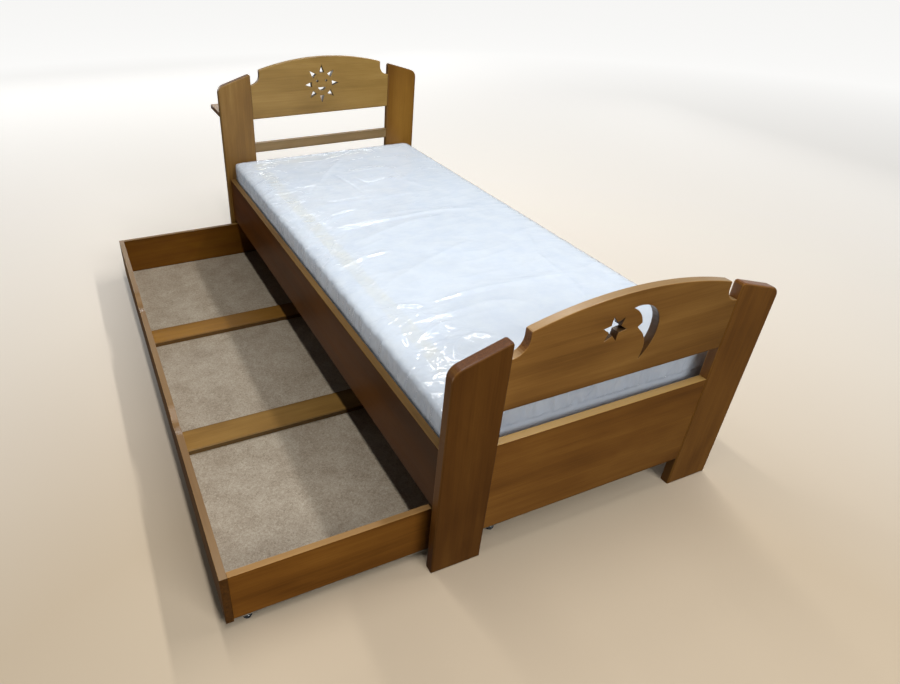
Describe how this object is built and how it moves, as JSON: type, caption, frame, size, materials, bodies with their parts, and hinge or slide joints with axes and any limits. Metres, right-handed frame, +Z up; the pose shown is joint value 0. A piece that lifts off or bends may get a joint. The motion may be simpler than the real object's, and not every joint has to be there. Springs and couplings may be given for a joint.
{
  "type": "storage bed",
  "caption": "Single bed in stained wood with arched head and foot boards cut through with sun, star and crescent, a slatted base, mattress, rear shelf and a drawer on casters.",
  "frame": {"origin": "on the floor, under the middle of the whole bed with its drawer pulled out", "axes": "+X across the bed towards its right side as seen from the foot end, +Y from the foot board to the head board, +Z up"},
  "size_m": [1.517, 2.2584, 0.912],
  "materials": {
    "stained_wood": "satin stained",
    "light_stained_wood": "satin stained",
    "raw_wood": "planed",
    "hardboard": "matte",
    "zinc_steel": "zinc plated",
    "black_plastic": "moulded",
    "mattress_cover": "woven"
  },
  "bodies": {
    "bed_frame": {"foot_post_left": "stained_wood", "foot_post_right": "stained_wood", "foot_panel_arched": "stained_wood", "foot_panel_lower": "stained_wood", "side_rail_left": "stained_wood", "side_rail_right": "stained_wood", "head_post_left": "light_stained_wood", "head_post_right": "light_stained_wood", "head_panel_arched": "light_stained_wood", "head_slat": "light_stained_wood", "head_panel_lower": "light_stained_wood", "headboard_shelf": "light_stained_wood", "shelf_console_left": "light_stained_wood", "shelf_console_right": "light_stained_wood", "ledger_left": "raw_wood", "ledger_right": "raw_wood", "slat_01": "raw_wood", "slat_02": "raw_wood", "slat_03": "raw_wood", "slat_04": "raw_wood", "slat_05": "raw_wood", "slat_06": "raw_wood", "slat_07": "raw_wood", "slat_08": "raw_wood", "slat_09": "raw_wood", "slat_10": "raw_wood", "slat_11": "raw_wood", "slat_12": "raw_wood", "slat_13": "raw_wood", "rail_angle_foot_left": "zinc_steel", "rail_angle_foot_right": "zinc_steel", "rail_angle_head_left": "zinc_steel", "rail_angle_head_right": "zinc_steel", "mattress": "mattress_cover"},
    "drawer": {"drawer_front": "stained_wood", "drawer_back": "stained_wood", "drawer_end_foot": "stained_wood", "drawer_end_head": "stained_wood", "drawer_cross_foot": "light_stained_wood", "drawer_cross_head": "light_stained_wood", "drawer_bottom_foot": "hardboard", "drawer_bottom_middle": "hardboard", "drawer_bottom_head": "hardboard", "caster_fork_front_foot": "zinc_steel", "caster_fork_front_head": "zinc_steel", "caster_fork_back_foot": "zinc_steel", "caster_fork_back_head": "zinc_steel", "caster_axle_front_foot": "zinc_steel", "caster_axle_front_head": "zinc_steel", "caster_axle_back_foot": "zinc_steel", "caster_axle_back_head": "zinc_steel"},
    "wheel_front_foot": {"caster_wheel_front_foot": "black_plastic"},
    "wheel_front_head": {"caster_wheel_front_head": "black_plastic"},
    "wheel_back_foot": {"caster_wheel_back_foot": "black_plastic"},
    "wheel_back_head": {"caster_wheel_back_head": "black_plastic"}
  },
  "joints": [
    {"name": "drawer_slide", "type": "slide", "parent": "bed_frame", "child": "drawer", "axis": [-1, 0, 0], "range_m": [-0.552, 0.24]},
    {"name": "wheel_front_foot_turn", "type": "hinge", "parent": "drawer", "child": "wheel_front_foot", "pos_m": [-0.7025, -1.05815, 0.012], "axis": [0, 1, 0], "continuous": true},
    {"name": "wheel_front_head_turn", "type": "hinge", "parent": "drawer", "child": "wheel_front_head", "pos_m": [-0.7025, 0.88985, 0.012], "axis": [0, 1, 0], "continuous": true},
    {"name": "wheel_back_foot_turn", "type": "hinge", "parent": "drawer", "child": "wheel_back_foot", "pos_m": [0.0055, -1.05815, 0.012], "axis": [0, 1, 0], "continuous": true},
    {"name": "wheel_back_head_turn", "type": "hinge", "parent": "drawer", "child": "wheel_back_head", "pos_m": [0.0055, 0.88985, 0.012], "axis": [0, 1, 0], "continuous": true}
  ],
  "couplings": [
    {"joint": "wheel_front_foot_turn", "follows": "drawer_slide", "rad_per_m": -83.333},
    {"joint": "wheel_front_head_turn", "follows": "drawer_slide", "rad_per_m": -83.333},
    {"joint": "wheel_back_foot_turn", "follows": "drawer_slide", "rad_per_m": -83.333},
    {"joint": "wheel_back_head_turn", "follows": "drawer_slide", "rad_per_m": -83.333}
  ]
}
